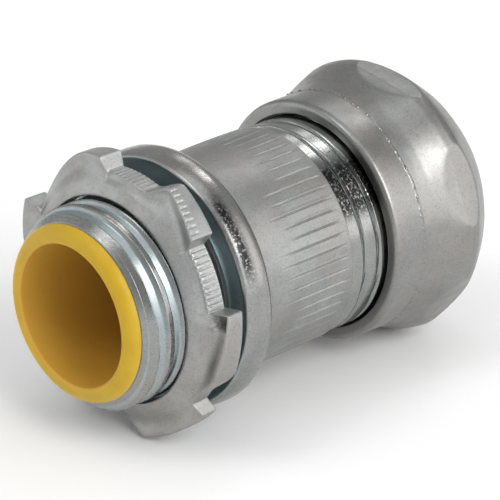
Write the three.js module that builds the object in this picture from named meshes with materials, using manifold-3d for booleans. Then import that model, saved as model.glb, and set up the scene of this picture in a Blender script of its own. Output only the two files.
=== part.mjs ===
// Insulated-throat compression connector for 1/2-inch trade thin-wall conduit.
// Millimetres. Every piece is turned about the fitting's axis, which is local Y here;
// the outer group lays that axis along world +X, from the box side to the conduit side,
// with the world origin at the middle of the fitting's length.
// Stations along the axis are counted from the flange face that seats on the box wall.
// Angles about the axis are counted from world +Z towards world +Y.

import * as THREE from 'three';
import * as BufferGeometryUtils from 'three/addons/utils/BufferGeometryUtils.js';
import Module from 'manifold-3d';

const wasm = await Module();
wasm.setup();

// ---- driving dimensions ----------------------------------------------------------------

const SEGMENTS = 44;             // facets round a turned piece, and per turn of a helix
const THREAD_PITCH = 2.0;
const FIT_GAP = 0.15;            // radial gap between pieces pressed or resting together
const OVERCUT = 0.3;             // how far a cutter stands proud of what it cuts

const body = {
  frontStation: -10.3,
  nippleBore: 8.4,
  nippleRimRadius: 9.3,
  nippleLeadIn: 0.5,
  nippleRoot: 9.75,
  nippleCrest: 10.5,
  nippleRunOut: 1.2,             // the thread stops this far from the nipple's ends
  ridgeFootHalf: 0.62,
  ridgeCrestHalf: 0.22,
  ridgeSunk: 0.25,               // how far the ridge is sunk into the root
  reliefDepth: 0.4,
  reliefFloorRadius: 10.3,
  reliefMouthRadius: 10.65,
  beadRadius: 13.6,
  beadFaceRadius: 12.9,
  beadFrontRound: 2.0,
  beadWidth: 4.0,
  beadRearRound: 1.8,
  barrelRadius: 11.4,
  barrelEnd: 16.4,
  barrelEase: 0.3,               // length of the slope at each end of the barrel
  gripThreadCrest: 11.2,
  gripThreadDepth: 0.5,
  gripThreadHalf: 0.5,
  gripRunIn: 1.5,
  gripRunOut: 1.1,
  gripEndChamfer: [0.3, 0.4],    // radial, along the axis
  rearStation: 28.0,
  mouthRadius: 10.6,
  mouthConeLength: 1.9,
  socketRadius: 9.2,
  stopStation: 2.0,
  knurlCount: 57,
  knurlStart: 7.6,
  knurlDepth: 0.16,
  knurlWidth: 0.4,
  knurlEndGap: 0.9,
};

const insulator = {
  lipStation: -11.6,
  lipRadius: 9.2,
  throatRadius: 7.45,
  lipFlat: 0.2,                  // width of the lip's flat front
  throatEase: 0.3,
  rearStation: 1.6,
};

const locknut = {
  faceStation: -6.0,
  boreRadius: 10.8,
  boreChamfer: 0.25,
  ringRadius: 13.2,
  thickness: 2.2,
  ringDish: 1.1,
  reachDish: 2.05,
  reachRadius: 16.1,             // beyond every lug; the dish is drawn out to it
  lugs: [                        // degrees: crown from, to, flank before, after; then radius
    [8, 26, 1.5, 34, 14.8], [65, 95, 1.5, 15, 15.0], [120, 150, 3, 12, 15.0],
    [197, 229, 15, 3, 14.6], [258, 280, 22, 1.5, 15.1], [312, 333, 2, 11, 15.1],
  ],
};

const nut = {
  mouthStation: 21.3,
  rearStation: 36.7,
  skirtRadius: 12.85,
  skirtLength: 4.3,
  lipDrop: 0.6,
  lipLength: 0.9,
  creaseDepth: 0.15,
  creaseLength: 0.3,
  bulge: [[13.45, 28.0], [14.55, 31.0], [13.7, 32.4], [12.6, 34.0]],   // radius, station
  rearFaceRadius: 10.2,
  boreRadius: 11.5,
  boreEnd: 33.4,
  holeRadius: 9.3,
  floorStation: 35.2,
  floorRadius: 10.5,
  threadDepth: 0.35,
  threadHalf: 0.6,
  threadFrom: 1.3,               // behind the mouth
  threadTurns: 3,
  acrossFlats: 27.6,
  flatAngle: -8,
  prismLength: 60,               // the flats' prism, longer than the nut
};

const ring = {
  front: 29.2,
  length: 3.4,
  bore: 9.15,
  noseRadius: 9.75,
  bodyRadius: 10.7,
  bodyFrom: 1.5,                 // the full radius, from here to there behind the nose
  bodyTo: 2.5,
  tailRadius: 9.95,
  slot: 1.6,
  slotAngle: 90,
};

const washer = { front: 32.8, thickness: 0.6, bore: 9.3, radius: 11.1 };

const seal = { front: 33.6, thickness: 1.4, bore: 9.1, radius: 10.6, backRadius: 10.2, ease: 0.2 };

// ---- geometry helpers ------------------------------------------------------------------

// Part of an ellipse in the profile plane, as (radius, station); degrees from +radius.
function arc(radius, station, width, length, from, to, steps) {
  return Array.from({ length: steps + 1 }, (_, i) => {
    const a = THREE.MathUtils.degToRad(from + ((to - from) * i) / steps);
    return [radius + width * Math.cos(a), station + length * Math.sin(a)];
  });
}

function profileArea(points) {
  return points.reduce((sum, [r, y], i) => {
    const [nextR, nextY] = points[(i + 1) % points.length];
    return sum + (r * nextY - nextR * y) / 2;
  }, 0);
}

// A closed solid of revolution from an open list of (radius, station) corners.
function turned(corners, segments = SEGMENTS, phiStart = 0) {
  const ordered = profileArea(corners) > 0 ? corners : [...corners].reverse();
  const loop = [...ordered, ordered[0]].map(([r, y]) => new THREE.Vector2(r, y));
  return new THREE.LatheGeometry(loop, segments, phiStart);
}

function toSolid(geometry) {
  const bare = geometry.index ? geometry.clone() : geometry;
  bare.deleteAttribute('normal');
  bare.deleteAttribute('uv');
  const merged = BufferGeometryUtils.mergeVertices(bare, 1e-4);
  return new wasm.Manifold(new wasm.Mesh({
    numProp: 3,
    vertProperties: new Float32Array(merged.attributes.position.array),
    triVerts: new Uint32Array(merged.index.array),
  }));
}

function toGeometry(solid) {
  const mesh = solid.getMesh();
  const geometry = new THREE.BufferGeometry();
  geometry.setAttribute('position', new THREE.BufferAttribute(mesh.vertProperties, 3));
  geometry.setIndex(new THREE.BufferAttribute(mesh.triVerts, 1));
  geometry.computeVertexNormals();
  return geometry;
}

// A right-hand helical bar. The section is a list of (radius, offset along the axis) corners.
function helix(section, from, to, startPhi = 0) {
  const turns = (to - from) / THREAD_PITCH;
  const steps = Math.round(turns * SEGMENTS);
  const sides = section.length;
  const positions = [];
  for (let i = 0; i <= steps; i += 1) {
    const phi = startPhi + (2 * Math.PI * i) / SEGMENTS;
    const station = from + ((to - from) * i) / steps;
    for (const [r, offset] of section) {
      positions.push(r * Math.sin(phi), station + offset, r * Math.cos(phi));
    }
  }
  const indices = [];
  for (let i = 0; i < steps; i += 1) {
    for (let j = 0; j < sides; j += 1) {
      const a = i * sides + j;
      const b = i * sides + ((j + 1) % sides);
      indices.push(a, b, a + sides, b, b + sides, a + sides);
    }
  }
  for (let j = 1; j < sides - 1; j += 1) {
    const last = steps * sides;
    indices.push(0, j + 1, j);
    indices.push(last, last + j, last + j + 1);
  }
  const geometry = new THREE.BufferGeometry();
  geometry.setAttribute('position', new THREE.Float32BufferAttribute(positions, 3));
  geometry.setIndex(indices);
  return geometry;
}

// A straight cutter along the axis, from an outline of (side, radius) corners.
function axialCutter(outline, length, angle, station) {
  const shape = new THREE.Shape(outline.map(([side, r]) => new THREE.Vector2(side, -r)));
  const cutter = new THREE.ExtrudeGeometry(shape, { depth: length, bevelEnabled: false });
  cutter.rotateX(-Math.PI / 2);
  cutter.translate(0, station, 0);
  cutter.rotateY(-THREE.MathUtils.degToRad(angle));
  return cutter;
}

// ---- the pieces ------------------------------------------------------------------------

function connectorBody() {
  const b = body;
  const rearCentre = b.beadWidth - b.beadRearRound;
  const rise = b.beadRadius - b.beadFaceRadius;
  const [chamferRise, chamferLength] = b.gripEndChamfer;
  const blank = toSolid(turned([
    [b.nippleBore, b.frontStation],
    [b.nippleRimRadius, b.frontStation],
    [b.nippleRoot, b.frontStation + b.nippleLeadIn],
    [b.nippleRoot, b.reliefDepth],
    [b.reliefFloorRadius, b.reliefDepth],
    [b.reliefMouthRadius, 0],
    ...arc(b.beadFaceRadius, b.beadFrontRound, rise, b.beadFrontRound, -90, 0, 5),
    ...arc(b.beadRadius - b.beadRearRound, rearCentre, b.beadRearRound, b.beadRearRound, 0, 90, 6),
    [b.barrelRadius, b.beadWidth + b.barrelEase],
    [b.barrelRadius, b.barrelEnd - b.barrelEase],
    [b.gripThreadCrest, b.barrelEnd],
    [b.gripThreadCrest, b.rearStation - chamferLength],
    [b.gripThreadCrest - chamferRise, b.rearStation],
    [b.mouthRadius, b.rearStation],
    [b.socketRadius, b.rearStation - b.mouthConeLength],
    [b.socketRadius, b.stopStation],
    [b.nippleBore, b.stopStation],
  ]));

  const foot = b.nippleRoot - b.ridgeSunk;
  const ridge = toSolid(helix([
    [foot, -b.ridgeFootHalf], [foot, b.ridgeFootHalf],
    [b.nippleCrest, b.ridgeCrestHalf], [b.nippleCrest, -b.ridgeCrestHalf],
  ], b.frontStation + b.nippleRunOut, -b.nippleRunOut, Math.PI));

  const crest = b.gripThreadCrest;
  const groove = toSolid(helix([
    [crest - b.gripThreadDepth, 0],
    [crest + OVERCUT, b.gripThreadHalf],
    [crest + OVERCUT, -b.gripThreadHalf],
  ], b.barrelEnd + b.gripRunIn, b.rearStation - b.gripRunOut));

  const line = [
    [0, b.barrelRadius - b.knurlDepth],
    [b.knurlWidth, b.barrelRadius + b.knurlDepth],
    [-b.knurlWidth, b.barrelRadius + b.knurlDepth],
  ];
  const knurl = Array.from({ length: b.knurlCount }, (_, i) => toSolid(axialCutter(
    line, b.barrelEnd - b.knurlEndGap - b.knurlStart, (360 * (i + 0.5)) / b.knurlCount, b.knurlStart,
  )));

  return toGeometry(blank.add(ridge).subtract(groove).subtract(wasm.Manifold.union(knurl)));
}

function throatInsulator() {
  const t = insulator;
  const sleeve = body.nippleBore - FIT_GAP;
  const lipDepth = body.frontStation - FIT_GAP - t.lipStation;
  const lipSpan = t.lipRadius - t.throatRadius - t.lipFlat;
  const lip = Array.from({ length: 7 }, (_, i) => {
    const a = (Math.PI / 2) * (i / 6);
    return [t.lipRadius - lipSpan * (1 - Math.sin(a)), t.lipStation + lipDepth * (1 - Math.cos(a))];
  });
  return turned([
    [t.throatRadius, t.lipStation + t.throatEase],
    ...lip,
    [sleeve, body.frontStation - FIT_GAP],
    [sleeve, t.rearStation],
    [t.throatRadius, t.rearStation],
  ]);
}

function lockringOutline() {
  const n = locknut;
  const at = (radius, angle) => {
    const a = THREE.MathUtils.degToRad(angle);
    return new THREE.Vector2(-radius * Math.sin(a), -radius * Math.cos(a));
  };
  const sweep = (radius, from, to) => {
    const steps = Math.max(2, Math.ceil(Math.abs(to - from) / 6));
    return Array.from({ length: steps + 1 }, (_, i) => at(radius, from + ((to - from) * i) / steps));
  };
  const outline = n.lugs.flatMap(([from, to, , after, radius], i) => {
    const [nextFrom, , nextBefore] = n.lugs[(i + 1) % n.lugs.length];
    const nextTurn = i + 1 === n.lugs.length ? 360 : 0;
    return [
      ...sweep(radius, from, to),
      ...sweep(n.ringRadius, to + after, nextFrom + nextTurn - nextBefore),
    ];
  });
  return new THREE.Shape(outline.reverse());
}

function lockring() {
  const n = locknut;
  const dished = toSolid(turned([
    [n.boreRadius, n.boreChamfer],
    [n.boreRadius + n.boreChamfer, 0],
    [n.ringRadius, n.ringDish],
    [n.reachRadius, n.reachDish],
    [n.reachRadius, n.reachDish + n.thickness],
    [n.ringRadius, n.ringDish + n.thickness],
    [n.boreRadius + n.boreChamfer, n.thickness],
    [n.boreRadius, n.thickness - n.boreChamfer],
  ]));
  const blank = new THREE.ExtrudeGeometry(lockringOutline(), { depth: 8, bevelEnabled: false });
  blank.rotateX(-Math.PI / 2);
  blank.translate(0, -2, 0);
  return toGeometry(dished.intersect(toSolid(blank)));
}

function glandNut() {
  const n = nut;
  const crease = n.mouthStation + n.skirtLength;
  const outer = new THREE.SplineCurve([
    [n.skirtRadius, crease],
    ...n.bulge,
    [n.rearFaceRadius, n.rearStation],
  ].map((p) => new THREE.Vector2(...p))).getPoints(15).map((p) => [p.x, p.y]);
  const bulged = toSolid(turned([
    [n.boreRadius, n.mouthStation],
    ...arc(n.skirtRadius - n.lipDrop, n.mouthStation + n.lipLength, n.lipDrop, n.lipLength, -90, 0, 5),
    [n.skirtRadius, crease - n.creaseLength],
    [n.skirtRadius - n.creaseDepth, crease - n.creaseLength / 2],
    ...outer,
    [n.holeRadius, n.rearStation],
    [n.holeRadius, n.floorStation],
    [n.floorRadius, n.floorStation],
    [n.boreRadius, n.boreEnd],
  ]));
  const cornerRadius = n.acrossFlats / 2 / Math.cos(Math.PI / 6);
  const cornerPhi = THREE.MathUtils.degToRad(30 - n.flatAngle);
  const wrenchPrism = toSolid(turned([
    [0, 0], [cornerRadius, 0], [cornerRadius, n.prismLength], [0, n.prismLength],
  ], 6, cornerPhi));
  const threadStart = n.mouthStation + n.threadFrom;
  const thread = toSolid(helix([
    [n.boreRadius - OVERCUT, -n.threadHalf],
    [n.boreRadius - OVERCUT, n.threadHalf],
    [n.boreRadius + n.threadDepth, 0],
  ], threadStart, threadStart + n.threadTurns * THREAD_PITCH));
  return toGeometry(bulged.intersect(wrenchPrism).subtract(thread));
}

function compressionRing() {
  const r = ring;
  const blank = toSolid(turned([
    [r.bore, 0], [r.noseRadius, 0], [r.bodyRadius, r.bodyFrom], [r.bodyRadius, r.bodyTo],
    [r.tailRadius, r.length], [r.bore, r.length],
  ]));
  const side = r.slot / 2;
  const inner = r.bore - OVERCUT;
  const outer = r.bodyRadius + OVERCUT;
  const gap = [[-side, inner], [side, inner], [side, outer], [-side, outer]];
  const slot = toSolid(axialCutter(gap, r.length + 2 * OVERCUT, r.slotAngle, -OVERCUT));
  return toGeometry(blank.subtract(slot));
}

function slipWasher() {
  const w = washer;
  return turned([[w.bore, 0], [w.radius, 0], [w.radius, w.thickness], [w.bore, w.thickness]]);
}

function sealingRing() {
  const s = seal;
  return turned([
    [s.bore, s.ease], [s.bore + s.ease, 0], [s.radius, 0], [s.backRadius, s.thickness],
    [s.bore + s.ease, s.thickness], [s.bore, s.thickness - s.ease],
  ]);
}

// ---- materials -------------------------------------------------------------------------

const zinc = (color) => new THREE.MeshStandardMaterial({ color, roughness: 0.35, metalness: 1 });
const nylon = new THREE.MeshStandardMaterial({ color: 0xd6b134, roughness: 0.45, metalness: 0 });
const rubber = new THREE.MeshStandardMaterial({ color: 0x26282a, roughness: 0.8, metalness: 0 });
const acetal = new THREE.MeshStandardMaterial({ color: 0xe6e4dc, roughness: 0.5, metalness: 0 });

// ---- assembly --------------------------------------------------------------------------

const fitting = new THREE.Group();
fitting.rotation.z = -Math.PI / 2;
fitting.position.x = -(insulator.lipStation + nut.rearStation) / 2;

function place(name, geometry, material, station = 0) {
  const mesh = new THREE.Mesh(geometry, material);
  mesh.name = name;
  mesh.position.y = station;
  fitting.add(mesh);
}

place('connector_body', connectorBody(), zinc(0xaeb0ad));
place('throat_insulator', throatInsulator(), nylon);
place('locknut', lockring(), zinc(0xb4b3ae), locknut.faceStation);
place('gland_nut', glandNut(), zinc(0xa9aaa6));
place('compression_ring', compressionRing(), zinc(0xb9bab6), ring.front);
place('slip_washer', slipWasher(), acetal, washer.front);
place('sealing_ring', sealingRing(), rubber, seal.front);

const group = new THREE.Group();
group.add(fitting);

export default group;
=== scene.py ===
"""Looks of a compression connector for thin-wall conduit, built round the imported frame.

Every piece is a surface swept round the fitting's axis, row +X. Its section is a closed loop
of (station, radius) points, and a function of station and angle shapes that loop into threads,
knurling, lugs and wrench flats. Lengths in the helpers are millimetres, stations count from
the flange face that seats on the box, and angles about the axis run from row +Z towards +Y.
"""

import math

import bpy
import numpy as np
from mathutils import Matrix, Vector

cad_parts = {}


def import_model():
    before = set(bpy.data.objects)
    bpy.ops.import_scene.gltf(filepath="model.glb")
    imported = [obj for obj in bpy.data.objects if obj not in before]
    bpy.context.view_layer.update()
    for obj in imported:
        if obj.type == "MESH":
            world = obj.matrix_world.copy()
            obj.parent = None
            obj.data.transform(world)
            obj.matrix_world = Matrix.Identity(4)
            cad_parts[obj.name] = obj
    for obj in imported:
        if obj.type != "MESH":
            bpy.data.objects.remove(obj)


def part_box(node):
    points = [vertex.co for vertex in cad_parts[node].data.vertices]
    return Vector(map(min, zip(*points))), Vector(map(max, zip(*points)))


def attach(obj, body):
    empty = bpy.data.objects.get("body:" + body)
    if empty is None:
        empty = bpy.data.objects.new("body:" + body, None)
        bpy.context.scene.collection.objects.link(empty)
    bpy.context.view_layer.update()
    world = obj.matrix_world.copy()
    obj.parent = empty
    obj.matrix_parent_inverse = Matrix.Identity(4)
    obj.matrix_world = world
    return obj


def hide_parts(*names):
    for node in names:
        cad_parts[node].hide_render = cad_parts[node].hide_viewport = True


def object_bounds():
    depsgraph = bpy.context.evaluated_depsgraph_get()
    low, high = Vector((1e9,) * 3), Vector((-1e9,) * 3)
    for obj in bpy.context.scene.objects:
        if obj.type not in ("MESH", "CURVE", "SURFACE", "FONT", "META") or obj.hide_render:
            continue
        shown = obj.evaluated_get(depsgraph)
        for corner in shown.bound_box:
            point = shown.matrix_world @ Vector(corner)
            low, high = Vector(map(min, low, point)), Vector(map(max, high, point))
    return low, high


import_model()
cad_low, cad_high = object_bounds()

MM = 0.001
TURN = 2 * math.pi

# ---- driving dimensions, in mm ---------------------------------------------------------

NIPPLE_LENGTH = 10.3
FLANGE_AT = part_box("connector_body")[0].x / MM + NIPPLE_LENGTH


def reach(node):
    """First station, last station and outer radius of a CAD node."""
    low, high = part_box(node)
    radius = max(high.z, -low.z, high.y, -low.y)
    return low.x / MM - FLANGE_AT, high.x / MM - FLANGE_AT, radius / MM


BODY_FRONT, BODY_REAR, BEAD_RADIUS = reach("connector_body")
LIP_FRONT, SLEEVE_REAR, LIP_RADIUS = reach("throat_insulator")
LOCK_FRONT = reach("locknut")[0]
NUT_FRONT, NUT_REAR = reach("gland_nut")[:2]
RING_FRONT, RING_REAR, RING_RADIUS = reach("compression_ring")
WASHER_FRONT, WASHER_REAR, WASHER_RADIUS = reach("slip_washer")
SEAL_FRONT, SEAL_REAR, SEAL_RADIUS = reach("sealing_ring")

PITCH = 2.0                  # of both threads
NIPPLE_BORE = 8.4
NIPPLE_RIM = 9.3
NIPPLE_ROOT = 9.75
NIPPLE_CREST = 10.5
NIPPLE_CREST_AT = -8.1       # a crest's station where the angle is 0
SOCKET_RADIUS = 9.2
STOP_STATION = 2.0
BEAD_FLAT = 12.9             # outer radius of the bead's flat front face
BEAD_CREST_FROM = 2.0
BEAD_CREST_TO = 2.3
BEAD_REAR = 3.9
BARREL_RADIUS = 11.4
BARREL_END = 16.4
GRIP_CREST = 11.2
GRIP_GROOVE_AT = 17.9        # a groove's station where the angle is 0
THROAT_RADIUS = 7.45
SLEEVE_RADIUS = 8.25
LOCK_BORE = 10.78
LOCK_RING = 13.2
NUT_COLLAR = 12.85
NUT_COLLAR_LENGTH = 3.9
NUT_FLAT = 13.8
NUT_HOLE = 9.3
NUT_BORE = 11.3
NUT_FLOOR_RADIUS = 10.5
HAIR = 0.01                  # enough to tell the two sides of a corner apart
FAR = 99.0                   # a radius outside everything


# ---- small maths -----------------------------------------------------------------------


def ramp(value, low, high):
    """0 below low, 1 above high, eased between."""
    t = np.clip((value - low) / (high - low), 0, 1)
    return t * t * (3 - 2 * t)


def soft_min(a, b, width):
    """The smaller of two surfaces, with the edge between them rounded over a width."""
    h = np.clip(0.5 + 0.5 * (b - a) / width, 0, 1)
    return b + (a - b) * h - width * h * (1 - h)


def degrees_between(angle, centre):
    """Signed distance round the axis from a centre, both in degrees."""
    return (angle - centre + 180) % 360 - 180


def within(degrees, span, soft=1.0):
    """1 inside a span of degrees, eased to 0 outside it."""
    away = np.abs(degrees_between(degrees, sum(span) / 2))
    half = (span[1] - span[0]) / 2
    return 1 - ramp(away, half - soft, half + soft)


def wobble(x, a, seed):
    """A smooth, repeatable unevenness of about -1 to 1 over station and angle."""
    rng = np.random.default_rng(seed)
    total = 0.0
    for _ in range(7):
        along = rng.uniform(0.15, 0.9)
        turns = rng.integers(1, 9) + 1
        phase = rng.uniform(0, TURN)
        total = total + np.sin(along * x + turns * a + phase)
    return total / 4


FILLET_POINTS = 5
ALMOST_HALF = 0.49           # the most of an edge that one fillet may take


def section(corners, step=0.5):
    """A closed loop through (station, radius, fillet, step to the next corner) corners.

    Returns its stations and its radii. A corner without a step of its own takes the given one.
    """
    points = []
    count = len(corners)
    steps_after = [corner[3] if len(corner) > 3 else step for corner in corners]
    for i, (x, r, fillet, *_) in enumerate(corners):
        here = np.array([x, r], float)
        before = np.array(corners[i - 1][:2], float)
        after = np.array(corners[(i + 1) % count][:2], float)
        if fillet <= 0:
            points.append([here])
            continue
        to_before, to_after = before - here, after - here
        length_before, length_after = np.linalg.norm(to_before), np.linalg.norm(to_after)
        to_before, to_after = to_before / length_before, to_after / length_after
        half = math.acos(np.clip(to_before @ to_after, -1, 1)) / 2
        room = ALMOST_HALF * min(length_before, length_after)
        cut = min(fillet / math.tan(half), room)
        start, end = here + to_before * cut, here + to_after * cut
        t = np.linspace(0, 1, FILLET_POINTS)[:, None]
        points.append((1 - t) ** 2 * start + 2 * t * (1 - t) * here + t**2 * end)
    loop = []
    for i, piece in enumerate(points):
        loop.extend(piece)
        last, first = np.array(piece[-1]), np.array(points[(i + 1) % count][0])
        added = int(np.linalg.norm(first - last) // steps_after[i])
        loop.extend(last + (first - last) * k / (added + 1) for k in range(1, added + 1))
    loop = np.array(loop)
    return loop[:, 0], loop[:, 1]


# ---- meshes ----------------------------------------------------------------------------

SHARP_ANGLE = math.radians(40)


def swept(name, stations, radii, angles, closed=True, **looks):
    """A mesh from grids of stations and radii, loop point by angle, with looks per point.

    It runs all the way round when closed, and has flat ends at its first and last angle if not.
    """
    rows, columns = stations.shape
    across, up = radii * np.sin(angles), radii * np.cos(angles)
    points = np.stack([stations + FLANGE_AT, across, up], axis=-1)
    index = np.arange(rows * columns).reshape(rows, columns)
    if closed:
        index = np.append(index, index[:, :1], axis=1)
    below = np.roll(index, -1, axis=0)
    quads = np.stack([index[:, :-1], index[:, 1:], below[:, 1:], below[:, :-1]], axis=-1)
    quads = quads.reshape(-1, 4)
    flat = points.reshape(-1, 3)
    a, b, c, d = (flat[quads[:, k]] for k in range(4))
    volume = np.einsum("ij,ij->i", a, np.cross(b, c)).sum()
    volume += np.einsum("ij,ij->i", a, np.cross(c, d)).sum()
    if volume < 0:
        quads = quads[:, ::-1]
    faces = quads.tolist()
    if not closed:
        ends = [index[:, 0].tolist(), index[::-1, -1].tolist()]
        faces += [end[::-1] for end in ends] if volume < 0 else ends
    mesh = bpy.data.meshes.new(name)
    mesh.from_pydata((flat * MM).tolist(), [], faces)
    mesh.polygons.foreach_set("use_smooth", np.ones(len(mesh.polygons), bool))
    if not closed:
        mesh.set_sharp_from_angle(angle=SHARP_ANGLE)
    for look, values in looks.items():
        layer = mesh.attributes.new(look, "FLOAT", "POINT")
        layer.data.foreach_set("value", values.reshape(-1).astype(np.float32))
    mesh.update()
    made = bpy.data.objects.new(name, mesh)
    bpy.context.scene.collection.objects.link(made)
    return made


def around(count):
    """Even angles round the whole turn."""
    return np.arange(count) * TURN / count


def grid(x, r, angles):
    """The section's stations and radii, and the angles, as equal grids."""
    spread = np.zeros((1, len(angles)))
    return x[:, None] + spread, r[:, None] + spread, angles[None, :] + np.zeros((len(x), 1))


def fit(piece, node, body, material):
    """Puts a finished piece in the place of its CAD node."""
    piece.data.materials.append(material)
    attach(piece, body)
    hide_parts(node)


def past_crest(x, a, at):
    """Distance along the axis past the last turn of a right-hand helix."""
    return (x - at + PITCH * a / TURN) % PITCH


def helix_distance(x, a, at):
    """Distance along the axis to the nearest turn of a right-hand helix."""
    past = past_crest(x, a, at)
    return np.minimum(past, PITCH - past)


# ---- materials -------------------------------------------------------------------------


def rgb(r, g, b):
    """An sRGB colour, 0 to 255, as a linear RGBA."""
    linear = [
        c / 12.92 if c <= 0.04045 else ((c + 0.055) / 1.055) ** 2.4
        for c in (r / 255, g / 255, b / 255)
    ]
    return (*linear, 1.0)


# a lighter, bluer zinc for recesses: the chromate's blue with a painted reflection of shaded
# steel
BLUE_CHROMATE_AND_REFLECTION = rgb(170, 186, 190)
WARM_ZINC = rgb(156, 150, 146)
# near black: random dark freckles, and painted dark reflection and shade
SPECK_SHADE_AND_REFLECTION_DARK = rgb(30, 32, 32)


class Nodes:
    """Short calls for building a material's node tree."""

    def __init__(self, name):
        self.material = bpy.data.materials.new(name)
        self.material.use_nodes = True
        self.tree = self.material.node_tree
        self.shader = self.tree.nodes["Principled BSDF"]
        self.place = self.tree.nodes.new("ShaderNodeTexCoord").outputs["Object"]

    def link(self, source, target):
        self.tree.links.new(source, target)

    def scaled(self, x, y, z):
        """The object's coordinates in mm, stretched per axis."""
        node = self.tree.nodes.new("ShaderNodeMapping")
        node.inputs["Scale"].default_value = (x / MM, y / MM, z / MM)
        self.link(self.place, node.inputs["Vector"])
        return node.outputs["Vector"]

    def noise(self, scale, detail=4.0, roughness=0.55, stretch=(1, 1, 1), distortion=0.0):
        """Noise with about this many waves to a mm, before the stretch."""
        node = self.tree.nodes.new("ShaderNodeTexNoise")
        node.inputs["Scale"].default_value = scale
        node.inputs["Detail"].default_value = detail
        node.inputs["Roughness"].default_value = roughness
        node.inputs["Distortion"].default_value = distortion
        self.link(self.scaled(*stretch), node.inputs["Vector"])
        return node.outputs["Fac"]

    def spread(self, value, low, high, to_low, to_high):
        """The value mapped from one range to another, clamped."""
        node = self.tree.nodes.new("ShaderNodeMapRange")
        for name, number in (
            ("From Min", low), ("From Max", high), ("To Min", to_low), ("To Max", to_high),
        ):
            node.inputs[name].default_value = number
        self.link(value, node.inputs["Value"])
        return node.outputs["Result"]

    def mix(self, factor, a, b):
        """Two colours or colour sockets mixed by a socket."""
        node = self.tree.nodes.new("ShaderNodeMix")
        node.data_type = "RGBA"
        self.link(factor, node.inputs["Factor"])
        for socket, value in ((node.inputs[6], a), (node.inputs[7], b)):
            if isinstance(value, tuple):
                socket.default_value = value
            else:
                self.link(value, socket)
        return node.outputs[2]

    def blend(self, factor, a, b):
        """Two number sockets mixed by a socket."""
        node = self.tree.nodes.new("ShaderNodeMix")
        self.link(factor, node.inputs["Factor"])
        self.link(a, node.inputs[2])
        self.link(b, node.inputs[3])
        return node.outputs["Result"]

    def product(self, a, b):
        """Two number sockets multiplied."""
        node = self.tree.nodes.new("ShaderNodeMath")
        node.operation = "MULTIPLY"
        self.link(a, node.inputs[0])
        self.link(b, node.inputs[1])
        return node.outputs["Value"]

    def attribute(self, name):
        """A look stored on the mesh's points, from 0 to 1."""
        node = self.tree.nodes.new("ShaderNodeAttribute")
        node.attribute_name = name
        return node.outputs["Fac"]

    def bump(self, layers):
        """Stacked bumps from (height socket, distance in mm) layers."""
        normal = None
        for height, distance in layers:
            node = self.tree.nodes.new("ShaderNodeBump")
            node.inputs["Strength"].default_value = 1.0
            node.inputs["Distance"].default_value = distance * MM
            self.link(height, node.inputs["Height"])
            if normal is not None:
                self.link(normal, node.inputs["Normal"])
            normal = node.outputs["Normal"]
        self.link(normal, self.shader.inputs["Normal"])


def zinc(name, light, dark, roughness, grain):
    """Bright zinc plate between two greys, with a mean roughness and a grain in waves to a mm.

    A surface is lighter and bluer where "groove" is 1, the chromate's blue with a painted
    reflection in recesses, burnished where "gloss" is 1, and painted dark in specks by a
    third look: a painted dark reflection on the glossy thread and crown, and painted shade
    where a locknut lug is torn back.
    """
    n = Nodes(name)
    clouds = n.spread(n.noise(0.3, 5, 0.6), 0.35, 0.68, 0, 1)
    warmth = n.spread(n.noise(0.16, 3, 0.5, distortion=0.4), 0.4, 0.65, 0, 0.6)
    bare_plate = n.mix(warmth, n.mix(clouds, light, dark), WARM_ZINC)
    # recesses lighter and bluer: the chromate's blue with a painted reflection
    recess_blue_and_reflection = n.mix(n.attribute("groove"), bare_plate, BLUE_CHROMATE_AND_REFLECTION)
    freckled = n.mix(n.spread(n.noise(4.5, 4, 0.7), 0.5, 0.75, 0, 0.35), recess_blue_and_reflection, SPECK_SHADE_AND_REFLECTION_DARK)
    # painted dark reflection and shade, broken into specks where the mesh's dark look is set
    specks = n.spread(n.noise(3.2, 6, 0.75), 0.39, 0.47, 0.0, 0.95)
    color = n.mix(n.product(n.attribute("worn"), specks), freckled, SPECK_SHADE_AND_REFLECTION_DARK)
    n.link(color, n.shader.inputs["Base Color"])
    n.shader.inputs["Metallic"].default_value = 1.0
    patchy = n.spread(n.noise(0.8, 5, 0.65), 0.3, 0.72, roughness - 0.05, roughness + 0.08)
    bright = n.spread(n.noise(2.2, 4, 0.7), 0.35, 0.65, 0.12, 0.26)
    n.link(n.blend(n.attribute("gloss"), patchy, bright), n.shader.inputs["Roughness"])
    n.bump([
        (n.noise(0.4, 2, 0.5), 0.03),
        (n.noise(1.7, 3, 0.6, stretch=(0.35, 1, 1)), 0.008),
        (n.noise(grain, 3, 0.65), 0.005),
    ])
    return n.material


def nylon():
    """Yellow nylon, paler and browner where "bore" is 1."""
    n = Nodes("yellow_nylon")
    clouds = n.spread(n.noise(0.25, 3), 0.35, 0.7, 0, 1)
    tint = n.mix(clouds, rgb(197, 162, 38), rgb(189, 153, 33))
    n.link(n.mix(n.attribute("bore"), tint, rgb(206, 162, 66)), n.shader.inputs["Base Color"])
    n.shader.inputs["Specular IOR Level"].default_value = 0.3
    n.shader.inputs["Subsurface Weight"].default_value = 0.12
    n.shader.inputs["Subsurface Radius"].default_value = (1.0, 0.6, 0.2)
    n.shader.inputs["Subsurface Scale"].default_value = 1.2 * MM
    n.link(n.spread(n.noise(1.5, 4), 0.3, 0.7, 0.36, 0.5), n.shader.inputs["Roughness"])
    n.bump([(n.noise(0.8, 2), 0.03), (n.noise(9, 3), 0.004)])
    return n.material


def rubber():
    n = Nodes("black_rubber")
    n.shader.inputs["Base Color"].default_value = rgb(38, 39, 41)
    n.link(n.spread(n.noise(2, 4), 0.3, 0.7, 0.6, 0.85), n.shader.inputs["Roughness"])
    n.bump([(n.noise(6, 4), 0.012)])
    return n.material


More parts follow.
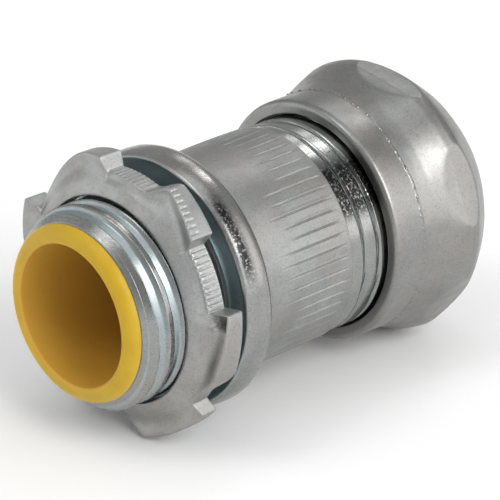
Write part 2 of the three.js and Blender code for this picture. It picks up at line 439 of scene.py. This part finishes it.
def acetal():
    n = Nodes("natural_acetal")
    n.shader.inputs["Base Color"].default_value = rgb(230, 228, 219)
    n.link(n.spread(n.noise(2, 4), 0.3, 0.7, 0.35, 0.5), n.shader.inputs["Roughness"])
    n.bump([(n.noise(5, 3), 0.006)])
    return n.material


# ---- connector body --------------------------------------------------------------------

CHAMFER_END = -9.86          # where the nipple's lead-in chamfer meets the root
CHAMFER_SLOPE = 1.02
THREAD_FORM = [              # past the crest's start, and height from root 0 to crest 1
    (0, 1), (0.5, 1), (0.74, 0), (1.6, 0.36), (1.88, 1), (PITCH, 1),
]
THREAD_FLANK = (0.5, 0.95)   # heights where the roots' chromate blue and painted reflection fade out
THREAD_TOP = (0.6, 0.95)     # heights where the crests' gloss fades in
THREAD_RUN_OUT = (-1.0, -0.5)
RELIEF_DEPTH = 0.4           # the undercut between the thread and the flange's seat
RELIEF_RADIUS = 10.6
SEAT_FROM = 10.75
SEAT_BLUE_AND_REFLECTION = (12.7, 13.3)    # radii where the seat's chromate blue and painted reflection fade out
BEAD_FOOT = 0.35             # from the bead's rear to the barrel
CROWN_FROM = 0.3             # the burnished crown's first station
CROWN_GLOSS = (12.8, 13.3)   # radii where its gloss fades in
CROWN_DARK_REFLECTION = (-71, -32)      # degrees where a dark reflection is painted on the bead's crown
STREAK_RISE = (0.4, 0.6)     # stations where the crown's painted dark reflection comes in and goes out
STREAK_FALL = (1.4, 1.8)
KNURL_LINES = 57
KNURL_DEPTH = 0.14
KNURL_FRONT = 7.2
KNURL_REAR = 15.5
KNURL_FADE = 3.5             # length over which a line comes in
KNURL_LATE = 2.4             # how much further back the lines near the top start
KNURL_TOP = 0.15             # the latest line's angle before +Z, in radians
KNURL_UNEVEN = 0.9
KNURL_CUT = (0.025, 0.085)   # a cut's half width at its floor and its top, of the spacing
KNURL_LIP = 0.04             # height of the metal raised beside a line
KNURL_LIP_RISE = (0.08, 0.13)
KNURL_LIP_FALL = (0.13, 0.25)
KNURL_NEAR = np.array([0.03, 0.08, 0.13, 0.2, 0.3, 0.42])      # mesh lines beside each cut
SHOULDER = 0.18              # from the barrel's end to the gland thread's crests
GRIP_FROM = BARREL_END + 0.2
GRIP_DEPTH = 0.5
GRIP_GROOVE = (0.05, 0.28)   # half the groove's width, at its floor and at the crests
GRIP_RUN_IN = (0.9, 1.4)     # behind the barrel's end
GRIP_RUN_OUT = (0.7, 1.2)    # before the body's rear
GRIP_DARK_REFLECTION = (-64, -33)       # degrees where a dark reflection is painted in specks on the gland thread
MOUTH_RADIUS = 10.6
MOUTH_DEPTH = 1.9
BODY_UNEVEN = 0.02

# Past its radius here, a point is on the outside of that stretch of the body.
NIPPLE_SKIN = NIPPLE_BORE + 0.5
GRIP_SKIN = GRIP_CREST - 0.35
CROWN_SKIN = BEAD_FLAT - 0.3
BODY_SKIN = SOCKET_RADIUS + 0.6


def bead_outline():
    """The bead's crown from its flat face to the barrel, as section corners."""
    quarter = np.linspace(0, math.pi / 2, 9)
    rise = BEAD_RADIUS - BEAD_FLAT
    drop = BEAD_REAR - BEAD_CREST_TO
    front = [
        (BEAD_CREST_FROM * (1 - math.cos(t)), BEAD_FLAT + rise * math.sin(t), 0)
        for t in quarter
    ]
    rear = [
        (BEAD_CREST_TO + drop * math.sin(t), BEAD_RADIUS - drop * (1 - math.cos(t)), 0)
        for t in quarter
    ]
    return front + rear


def body_corners():
    """The body's outline, from the nipple's bore over the outside and back down the socket."""
    return [
        (BODY_FRONT, NIPPLE_BORE, 0.1),
        (BODY_FRONT, NIPPLE_RIM, 0.12, 0.1),
        (CHAMFER_END, NIPPLE_ROOT, 0.03, 0.1),
        (RELIEF_DEPTH, NIPPLE_ROOT, 0, 0.2),
        (RELIEF_DEPTH, RELIEF_RADIUS, 0, 0.2),
        (0, SEAT_FROM, 0.05, 0.4),
        *bead_outline(),
        (BEAD_REAR + BEAD_FOOT, BARREL_RADIUS, 0.3, 0.4),
        (BARREL_END, BARREL_RADIUS, 0.08),
        (BARREL_END + SHOULDER, GRIP_CREST, 0.05, 0.12),
        (BODY_REAR, GRIP_CREST, 0.3),
        (BODY_REAR, MOUTH_RADIUS, 0.1),
        (BODY_REAR - MOUTH_DEPTH, SOCKET_RADIUS, 0.2, 1.5),
        (STOP_STATION, SOCKET_RADIUS, 0.1),
        (STOP_STATION, NIPPLE_BORE, 0.1, 1.5),
    ]


def nipple_ridge(x, a):
    """The nipple's thread, from 0 at its root to 1 on its crest."""
    past, height = zip(*THREAD_FORM)
    ridge = np.interp(past_crest(x, a, NIPPLE_CREST_AT), past, height)
    return ridge * (1 - ramp(x, *THREAD_RUN_OUT))


def gland_groove(x, a):
    """The gland thread, from 0 on its crest to 1 in its groove."""
    groove = 1 - ramp(helix_distance(x, a, GRIP_GROOVE_AT), *GRIP_GROOVE)
    return groove * ramp(x - BARREL_END, *GRIP_RUN_IN) * ramp(BODY_REAR - x, *GRIP_RUN_OUT)


def knurling(x, a):
    """How far the knurl lines are cut in, and how far the lip beside each is raised, 0 to 1."""
    line = a / TURN * KNURL_LINES
    off_line = (line + 0.5) % 1 - 0.5
    uneven = np.random.default_rng(4).uniform(-KNURL_UNEVEN, KNURL_UNEVEN, KNURL_LINES)
    start = KNURL_FRONT + KNURL_LATE * ramp(np.cos(a + KNURL_TOP), 0.75, 1.0)
    start = start + uneven[np.rint(line).astype(int) % KNURL_LINES]
    strength = ramp(x, start, start + KNURL_FADE) * (1 - ramp(x - KNURL_REAR, -0.1, 0.15))
    cut = (1 - ramp(np.abs(off_line), *KNURL_CUT)) * strength
    lip = ramp(off_line, *KNURL_LIP_RISE) * (1 - ramp(off_line, *KNURL_LIP_FALL)) * strength
    return cut, lip


def connector_body():
    """The turned body: nipple thread, bead, knurled barrel, gland thread and socket."""
    x, r = section(body_corners())
    lines = np.arange(KNURL_LINES)[:, None] + np.concatenate([-KNURL_NEAR[::-1], KNURL_NEAR])
    x, r, a = grid(x, r, lines.reshape(-1) * TURN / KNURL_LINES)
    degrees = np.degrees(a)
    groove, gloss, worn = np.zeros((3, *x.shape))

    nipple = (r > NIPPLE_SKIN) & (x < RELIEF_DEPTH - HAIR)
    threaded = nipple & (x > CHAMFER_END - HAIR)
    ridge = nipple_ridge(x, a)
    chamfer = NIPPLE_RIM + CHAMFER_SLOPE * (x - BODY_FRONT)
    thread = r + (NIPPLE_CREST - NIPPLE_ROOT) * ridge
    r = np.where(threaded, np.minimum(thread, np.maximum(chamfer, NIPPLE_ROOT)), r)
    # the thread's roots: the chromate's blue with a painted reflection
    groove = np.where(threaded, 0.6 * (1 - ramp(ridge, *THREAD_FLANK)), groove)
    gloss = np.where(nipple, 0.45 + 0.25 * ramp(ridge, *THREAD_TOP), gloss)

    # the flange's seat, shaded behind the locknut: painted lighter and bluer, the chromate's
    # blue with a painted reflection
    seat = (x < BEAD_CREST_FROM) & (r > NIPPLE_CREST)
    groove = np.where(seat, 1 - ramp(r, *SEAT_BLUE_AND_REFLECTION), groove)

    grip = (r > GRIP_SKIN) & (x > GRIP_FROM)
    cut = gland_groove(x, a)
    r = np.where(grip, r - GRIP_DEPTH * cut, r)
    # the gland thread's grooves: the chromate's blue with a painted reflection
    groove = np.where(grip, 0.4 * cut, groove)
    gloss = np.where(grip, 1, gloss)
    # a painted dark reflection, broken into specks, on the crests at these angles
    worn = np.where(grip, within(degrees, GRIP_DARK_REFLECTION, 5) * (1 - cut), worn)

    crown = (r > CROWN_SKIN) & (x > CROWN_FROM) & (x < BEAD_REAR)
    # a streak of painted dark reflection on the burnished crown
    streak = ramp(x, *STREAK_RISE) * (1 - ramp(x, *STREAK_FALL)) * within(degrees, CROWN_DARK_REFLECTION, 8)
    gloss = np.where(crown, 0.8 * ramp(r, *CROWN_GLOSS), gloss)
    worn = np.where(crown, streak, worn)

    barrel = (r > BODY_SKIN) & (x > BEAD_REAR + 0.3) & (x < BARREL_END - 0.05)
    cut, lip = knurling(x, a)
    r = np.where(barrel, r - KNURL_DEPTH * cut + KNURL_LIP * lip, r)

    outer = (r > BODY_SKIN) & (x > RELIEF_DEPTH / 2)
    r = np.where(outer, r + BODY_UNEVEN * wobble(x, a, 5), r)
    return swept("body_turned", x, r, a, groove=groove, gloss=gloss, worn=worn)


# ---- throat insulator ------------------------------------------------------------------

LIP_GAP = 0.05               # between the lip and the nipple's front
LIP_PROUD = 0.05             # the lip's edge past the CAD's facets
THROAT_EASE = 0.28           # from the lip's front to the bore
THROAT_SPREAD = 0.25         # how far the bore opens over that length
SLEEVE_UNEVEN = 0.012


def throat_insulator():
    """The bell-mouthed sleeve inside the nipple."""
    lip_rear = BODY_FRONT - LIP_GAP
    depth = lip_rear - LIP_FRONT
    edge = LIP_RADIUS + LIP_PROUD
    span = edge - THROAT_RADIUS - THROAT_SPREAD
    nose = [
        (LIP_FRONT + depth * (1 - math.cos(t)), edge - span * (1 - math.sin(t)), 0)
        for t in np.linspace(0, math.pi / 2, 12)
    ]
    corners = [
        (LIP_FRONT + THROAT_EASE, THROAT_RADIUS, 0.2),
        *nose,
        (lip_rear, SLEEVE_RADIUS, 0.1),
        (SLEEVE_REAR, SLEEVE_RADIUS, 0.2),
        (SLEEVE_REAR, THROAT_RADIUS, 0.2),
    ]
    x, r = section(corners, 0.8)
    x, r, a = grid(x, r, around(240))
    r = r + SLEEVE_UNEVEN * wobble(x, a, 11)
    bore = 1 - ramp(r - THROAT_RADIUS, 0.1, 0.35)
    return swept("throat_sleeve", x, r, a, bore=bore)


# ---- locknut ---------------------------------------------------------------------------

LUGS = [                     # degrees: crown from, to, flank before, after; then the radius
    (8, 26, 1.5, 34, 14.8), (65, 95, 1.5, 15, 15.0), (120, 150, 3, 12, 15.0),
    (197, 229, 15, 3, 14.6), (258, 280, 22, 1.5, 15.1), (312, 333, 2, 11, 15.1),
]
NICKED = (-80, -24)          # degrees where the front edge is nicked
RIBBED = (-79, -51)          # degrees where the nicks run on across the rim
HATCHED = (-15, 6)           # degrees where the notch floor is hatched
SHEARED = (-85, -79)         # degrees where a lug's flank is torn back
NICK_DEPTH = 0.16
HATCH_DEPTH = 0.08
SHEAR_DEPTH = 0.8
SERRATION_PITCH = TURN / 133

# Stations here are from the nut's front. A lug twists, its far end leaning to the rear.
HUB_REAR = 2.2
RIM_FRONT = 1.15
RIM_REAR = 3.3
LUG_FRONT = 0.55
LUG_REAR = 3.35
TWIST_FRONT = 1.35           # how far the twist takes a lug's front edge back
TWIST_REAR = 0.52
BORE_FROM = 0.1
BORE_TO = 2.05
BORE_EDGE = 0.12
BORE_GROOVE = 0.3
DISH_CURVE = 1.25
DISH_HUB = 1.3               # width round the bore that follows the dish alone
FRONT_ROUND = 0.3
FRONT_SUNK = 0.02
REAR_ROUND = 0.15
REAR_MARGIN = 0.2
RIM_TAPER = 0.04
LOCK_UNEVEN = 0.025


def lug_shape(degrees):
    """Per angle: a lug's presence from 0 to 1, the outer radius and the twist from 0 to 1."""
    lug = np.zeros_like(degrees)
    outer = np.full_like(degrees, LOCK_RING)
    twist = np.full_like(degrees, 0.5)
    for start, end, before, after, radius in LUGS:
        centre, half = (start + end) / 2, (end - start) / 2
        away = degrees_between(degrees, centre)
        rise = ramp(away, -half - before, -half)
        fall = 1 - ramp(away, half, half + after)
        here = np.where(away < 0, rise, fall)
        lug = np.maximum(lug, here)
        outer = np.maximum(outer, LOCK_RING + (radius - LOCK_RING) * here)
        near = (away > -half - before) & (away < half + after)
        twist = np.where(near, 0.5 + 0.5 * np.clip(away / half, -1, 1), twist)
    return lug, outer, twist


def locknut():
    """The stamped nut, row by row from its bore over the front face, the rim and the back."""
    angles = around(1440)
    degrees = np.degrees(angles)
    lug, outer, twist = lug_shape(degrees)
    edge_front = RIM_FRONT + (LUG_FRONT + TWIST_FRONT * twist - RIM_FRONT) * lug
    edge_rear = RIM_REAR + (LUG_REAR + TWIST_REAR * twist - RIM_REAR) * lug
    width = outer - LOCK_BORE
    wave = np.abs(((angles / SERRATION_PITCH) % 1) - 0.5) * 2
    bite = ramp(wave, 0.45, 0.95)
    nicks = NICK_DEPTH * bite * within(degrees, NICKED)
    hatch = HATCH_DEPTH * bite * within(degrees, HATCHED)
    sheared = SHEAR_DEPTH * within(degrees, SHEARED, 1.5)
    unribbed = 1 - 0.35 * within(degrees, RIBBED)

    rows = []

    def add(x, r, groove, worn=0):
        rows.append([value + 0 * angles for value in (x, r, groove, worn)])

    for t in np.linspace(0, 1, 16):
        r = LOCK_BORE + BORE_EDGE + (width - BORE_EDGE - FRONT_ROUND) * t
        dish = RIM_FRONT * ((r - LOCK_BORE) / (LOCK_RING - LOCK_BORE)) ** DISH_CURVE
        to_edge = ramp(r, LOCK_BORE + DISH_HUB, outer - FRONT_ROUND)
        chip = sheared * ramp(r - LOCK_RING, -0.5, 0.4)
        # where a lug's flank is torn back, its recess is also painted dark in specks as its
        # shade
        add(dish + (edge_front - dish) * to_edge + chip, r, 0, chip)
    for t in np.linspace(0.2, 1, 5):
        turn = t * math.pi / 2
        x = edge_front + FRONT_ROUND * (1 - math.cos(turn)) - FRONT_SUNK
        r = outer - FRONT_ROUND * (1 - math.sin(turn)) - (nicks + hatch) * t
        add(x, r, 0)
    for t in np.linspace(0.06, 0.94, 12):
        x = edge_front + FRONT_ROUND + (edge_rear - edge_front - FRONT_ROUND - REAR_ROUND) * t
        ribs = nicks * (1 - ramp(t, 0.1, 0.4) * unribbed)
        add(x, outer - ribs - hatch - RIM_TAPER * t, 0)
    # the rear faces and the bore are tinted: the chromate's blue with a painted reflection
    for t in np.linspace(0, 1, 4):
        turn = t * math.pi / 2
        x = edge_rear - REAR_ROUND * (1 - math.sin(turn))
        r = outer - RIM_TAPER - REAR_ROUND * (1 - math.cos(turn)) - hatch
        add(x, r, 0.3)
    for t in np.linspace(0.05, 1, 12):
        r = outer - REAR_MARGIN - (width - 2 * REAR_MARGIN) * t
        x = edge_rear - (edge_rear - HUB_REAR) * (1 - (r - LOCK_BORE) / width)
        add(x, r, 0.3)
    for t in np.linspace(0, 1, 20):
        x = BORE_TO - (BORE_TO - BORE_FROM) * t
        cut = 1 - ramp(helix_distance(x + LOCK_FRONT, angles, NIPPLE_CREST_AT), 0.2, 0.7)
        inside = ramp(t, 0, 0.1) * (1 - ramp(t, 0.9, 1))
        add(x, LOCK_BORE + BORE_GROOVE * cut * inside, 0.6)

    x, r, groove, worn = (np.array(part) for part in zip(*rows))
    a = angles[None, :] + np.zeros_like(x)
    x = x + LOCK_UNEVEN * wobble(x, a, 3)
    return swept("locknut_stamping", x + LOCK_FRONT, r, a, groove=groove, worn=worn)


# ---- gland nut -------------------------------------------------------------------------

NUT_CREASE = NUT_FRONT + NUT_COLLAR_LENGTH
NUT_ROUND = [                # behind the crease, and radius: the nut before its flats
    (-0.4, 12.85), (0, 12.87), (0.8, 12.99), (1.8, 13.22), (2.8, 13.58), (3.8, 14.0),
    (4.8, 14.36), (5.7, 14.5), (6.4, 14.38), (7.1, 13.98), (7.9, 13.42), (8.8, 12.75),
    (9.8, 11.95),
]
NUT_LIP = 0.6                # rounding of the collar's front edge
NUT_MOUTH = 11.5             # the bore opens out to this at the collar's front
NUT_MOUTH_DEPTH = 0.5
NUT_REAR_LIP = 0.12
NUT_REAR_EDGE = 10.3
NUT_REAR_FLAT = 9.75
NUT_FLOOR = 1.5              # thickness of the rear wall round the hole
NUT_TAPER_AT = 33.4          # where the bore starts to close in to the floor
NUT_THREAD_FROM = 1.2        # behind the collar's front
NUT_THREAD_TO = 33.0
NUT_THREAD_DEPTH = 0.3
FLATS_FROM = 0.19            # behind the crease
FLAT_TURN = 60               # degrees from one wrench flat to the next
FLAT_AT = -8                 # degrees, the middle of one flat
FLARE_FROM = 12.86           # radius at the middle of a flat, where it meets the crease
FLARE_SLOPE = 0.25
FLARE_TO = 30.0
BURR_WIDTH = 0.09
BURR_HEIGHT = 0.14
NUT_UNEVEN = 0.03
NUT_SKIN = NUT_BORE + 0.5    # past this radius, a point is on the nut's outside


def nut_round(x):
    """Radius of the nut before its flats are pressed, from the crease to the rear dome."""
    behind, radius = zip(*NUT_ROUND)
    return np.interp(x - NUT_CREASE, behind, radius)


def nut_lip():
    """The rounded front edge of the nut's collar, as section corners."""
    return [
        (NUT_FRONT + NUT_LIP * (1 - math.sin(t)), NUT_COLLAR - NUT_LIP * (1 - math.cos(t)), 0)
        for t in np.linspace(math.pi / 2, 0, 7)
    ]


def nut_corners():
    """The nut's outline, from its mouth over the outside and back down the bore."""
    fine = NUT_CREASE + np.arange(-0.4, 0.4, 0.05)
    coarse = NUT_CREASE + np.arange(0.5, NUT_ROUND[-1][0] + HAIR, 0.2)
    return [
        (NUT_FRONT, NUT_MOUTH, 0.1, 0.2),
        *nut_lip(),
        *((x, float(nut_round(x)), 0) for x in (*fine, *coarse)),
        (NUT_REAR - NUT_REAR_LIP, NUT_REAR_EDGE, 0.3, 0.2),
        (NUT_REAR, NUT_REAR_FLAT, 0.25, 0.2),
        (NUT_REAR, NUT_HOLE, 0.2, 0.5),
        (NUT_REAR - NUT_FLOOR, NUT_HOLE, 0.1, 0.5),
        (NUT_REAR - NUT_FLOOR, NUT_FLOOR_RADIUS, 0.3, 0.5),
        (NUT_TAPER_AT, NUT_BORE, 0.3, 0.16),
        (NUT_FRONT + NUT_MOUTH_DEPTH, NUT_BORE, 0.1, 0.2),
    ]


def press_flats(x, r, a):
    """The nut's radius with its six flats pressed in, flaring out from the crease."""
    off_flat = (np.degrees(a) - FLAT_AT + FLAT_TURN / 2) % FLAT_TURN - FLAT_TURN / 2
    lean = np.cos(np.radians(off_flat))
    flare = (FLARE_FROM + FLARE_SLOPE * (x - NUT_CREASE)) / lean
    pressed = soft_min(r, NUT_FLAT / lean, 0.05)
    return soft_min(pressed, np.where(x < FLARE_TO, flare, FAR), 0.5)


def crease_burr(x, a):
    """The broken line of bright burr round the crease, from 0 to 1."""
    wander = 0.12 * np.sin(3 * a + 1.0) + 0.06 * np.sin(11 * a)
    dots = ramp(np.sin(47 * a) + np.sin(71 * a + 2) + np.sin(113 * a + 4), 0.0, 1.4)
    return np.exp(-(((x - NUT_CREASE - wander) / BURR_WIDTH) ** 2)) * (0.2 + 0.8 * dots)


def gland_nut():
    """The pressed nut, with its flats, the burr at its crease and its thread."""
    x, r = section(nut_corners())
    x, r, a = grid(x, r, around(720))
    shell = r > NUT_SKIN
    r = np.where(shell & (x > NUT_CREASE + FLATS_FROM), press_flats(x, r, a), r)
    burr = crease_burr(x, a)
    r = np.where(shell, r + BURR_HEIGHT * burr, r)
    r = np.where(shell, r + NUT_UNEVEN * wobble(x, a, 8), r)

    threaded = (x > NUT_FRONT + NUT_THREAD_FROM) & (x < NUT_THREAD_TO)
    female = (np.abs(r - NUT_BORE) < 0.05) & threaded
    cut = 1 - ramp(helix_distance(x, a, GRIP_GROOVE_AT + PITCH / 2), 0.1, 0.5)
    r = np.where(female, r + NUT_THREAD_DEPTH * cut, r)
    # the thread's grooves: the chromate's blue with a painted reflection
    groove = np.where(female, 0.7 * cut, 0.0)
    return swept("gland_nut_shell", x, r, a, groove=groove, gloss=np.where(shell, burr, 0.0))


# ---- rings inside the nut --------------------------------------------------------------

RING_BORE = 9.15
RING_NOSE = 9.75
RING_TAIL = 9.95
RING_BAND = (1.5, 2.5)       # the full radius's stations, from the ring's front
RING_GAP = 0.08              # half the split, in radians
TEETH_PITCH = 0.5
TEETH_DEPTH = 0.12
TEETH_MARGIN = 0.3
WASHER_BORE = 9.3
SEAL_BORE = 9.1
SEAL_TAPER = 0.4


def compression_ring():
    """The split, toothed ring that grips the conduit."""
    corners = [
        (RING_FRONT, RING_BORE, 0.1),
        (RING_FRONT, RING_NOSE, 0.1),
        *((RING_FRONT + at, RING_RADIUS, 0.15) for at in RING_BAND),
        (RING_REAR, RING_TAIL, 0.15),
        (RING_REAR, RING_BORE, 0.1),
    ]
    x, r = section(corners, 0.25)
    split_at = math.pi / 2
    angles = np.linspace(split_at + RING_GAP, split_at + TURN - RING_GAP, 240)
    x, r, a = grid(x, r, angles)
    between_ends = (x > RING_FRONT + TEETH_MARGIN) & (x < RING_REAR - TEETH_MARGIN)
    teeth = (r < RING_BORE + 0.1) & between_ends
    r = np.where(teeth, r + TEETH_DEPTH * np.abs((x / TEETH_PITCH) % 1 - 0.5) * 2, r)
    return swept("compression_ring_split", x, r, a, closed=False)


def slip_washer():
    corners = [
        (WASHER_FRONT, WASHER_BORE, 0.08),
        (WASHER_FRONT, WASHER_RADIUS, 0.1),
        (WASHER_REAR, WASHER_RADIUS, 0.1),
        (WASHER_REAR, WASHER_BORE, 0.08),
    ]
    x, r = section(corners, 0.3)
    x, r, a = grid(x, r, around(200))
    return swept("slip_washer_disc", x, r, a)


def sealing_ring():
    corners = [
        (SEAL_FRONT, SEAL_BORE, 0.35),
        (SEAL_FRONT, SEAL_RADIUS, 0.3),
        (SEAL_REAR, SEAL_RADIUS - SEAL_TAPER, 0.3),
        (SEAL_REAR, SEAL_BORE, 0.35),
    ]
    x, r = section(corners, 0.2)
    x, r, a = grid(x, r, around(200))
    return swept("sealing_ring_rubber", x, r, a)


# ---- studio ----------------------------------------------------------------------------

FLOOR_HALF = 3.0             # in metres
FLOOR_COLOR = (0.96, 0.96, 0.96, 1)
FLOOR_ROUGHNESS = 0.9
TENT_LIGHT = 0.5
SPOTS = [                    # azimuth, elevation, inner and outer radius in degrees, light
    (-72, 5, 20, 60, 1.9),
    (134, -5, 15, 45, 1.3),
    (0, 90, 12, 26, 1.3),
    (38, 37, 3, 8, 2.2),
    (19, 48, 3, 8, 5.0),
    (160, 56, 5, 14, 4.5),
    (-95, 38, 8, 20, 6.0),
    (-134, 25, 6, 17, 0.25),
]
CAMERA_AT = (-0.28575, -0.2995, 0.1921)       # in metres
CAMERA_AZIMUTH = -43.7       # degrees round +Z, from -Y
CAMERA_ELEVATION = 24.95
CAMERA_LENS = 323.6


def floor():
    corners = [
        (x * FLOOR_HALF, y * FLOOR_HALF, cad_low.z)
        for x, y in ((-1, -1), (1, -1), (1, 1), (-1, 1))
    ]
    mesh = bpy.data.meshes.new("floor")
    mesh.from_pydata(corners, [], [(0, 1, 2, 3)])
    n = Nodes("pale_floor")
    n.shader.inputs["Base Color"].default_value = FLOOR_COLOR
    n.shader.inputs["Roughness"].default_value = FLOOR_ROUGHNESS
    mesh.materials.append(n.material)
    made = bpy.data.objects.new("floor", mesh)
    bpy.context.scene.collection.objects.link(made)


def bearing(azimuth, elevation):
    """A direction from degrees round +Z, starting at +X, and degrees above the floor."""
    turn, rise = math.radians(azimuth), math.radians(elevation)
    flat = math.cos(rise)
    return flat * math.cos(turn), flat * math.sin(turn), math.sin(rise)


def world():
    """A light tent, even but for soft round spots that are brighter, or darker for one."""
    made = bpy.data.worlds.new("studio")
    made.use_nodes = True
    nodes, links = made.node_tree.nodes, made.node_tree.links
    facing = nodes.new("ShaderNodeTexCoord").outputs["Generated"]
    light = None
    for azimuth, elevation, inner, outer, level in SPOTS:
        dot = nodes.new("ShaderNodeVectorMath")
        dot.operation = "DOT_PRODUCT"
        dot.inputs[1].default_value = bearing(azimuth, elevation)
        links.new(facing, dot.inputs[0])
        edge = nodes.new("ShaderNodeMapRange")
        edge.interpolation_type = "SMOOTHSTEP"
        edge.inputs["From Min"].default_value = math.cos(math.radians(outer))
        edge.inputs["From Max"].default_value = math.cos(math.radians(inner))
        links.new(dot.outputs["Value"], edge.inputs["Value"])
        spot = nodes.new("ShaderNodeMix")
        spot.inputs[2].default_value = TENT_LIGHT
        spot.inputs[3].default_value = level
        links.new(edge.outputs["Result"], spot.inputs["Factor"])
        if light is not None:
            links.new(light, spot.inputs[2])
        light = spot.outputs["Result"]
    nodes["Background"].inputs["Color"].default_value = (1, 1, 1, 1)
    links.new(light, nodes["Background"].inputs["Strength"])
    bpy.context.scene.world = made


def camera():
    """Off the box end, on the -Y side and above, looking back along the fitting."""
    data = bpy.data.cameras.new("camera")
    data.lens = CAMERA_LENS
    data.clip_start, data.clip_end = 0.01, 20
    made = bpy.data.objects.new("camera", data)
    back = Vector(bearing(CAMERA_AZIMUTH - 90, CAMERA_ELEVATION))
    made.location = CAMERA_AT
    made.rotation_mode = "QUATERNION"
    made.rotation_quaternion = (-back).to_track_quat("-Z", "Y")
    bpy.context.scene.collection.objects.link(made)
    bpy.context.scene.camera = made


# ---- assembly --------------------------------------------------------------------------

plate = zinc("zinc_body", rgb(159, 161, 159), rgb(145, 147, 146), 0.44, 7)
lock_plate = zinc("zinc_locknut", rgb(180, 181, 180), rgb(166, 168, 167), 0.46, 6)
nut_plate = zinc("zinc_nut", rgb(152, 153, 151), rgb(139, 141, 139), 0.34, 6)

fit(connector_body(), "connector_body", "connector", plate)
fit(throat_insulator(), "throat_insulator", "connector", nylon())
fit(locknut(), "locknut", "locknut", lock_plate)
fit(gland_nut(), "gland_nut", "gland_nut", nut_plate)
fit(compression_ring(), "compression_ring", "ring_stack", plate)
fit(slip_washer(), "slip_washer", "ring_stack", acetal())
fit(sealing_ring(), "sealing_ring", "ring_stack", rubber())

floor()
world()
camera()

view = bpy.context.scene.view_settings
view.view_transform = "Standard"
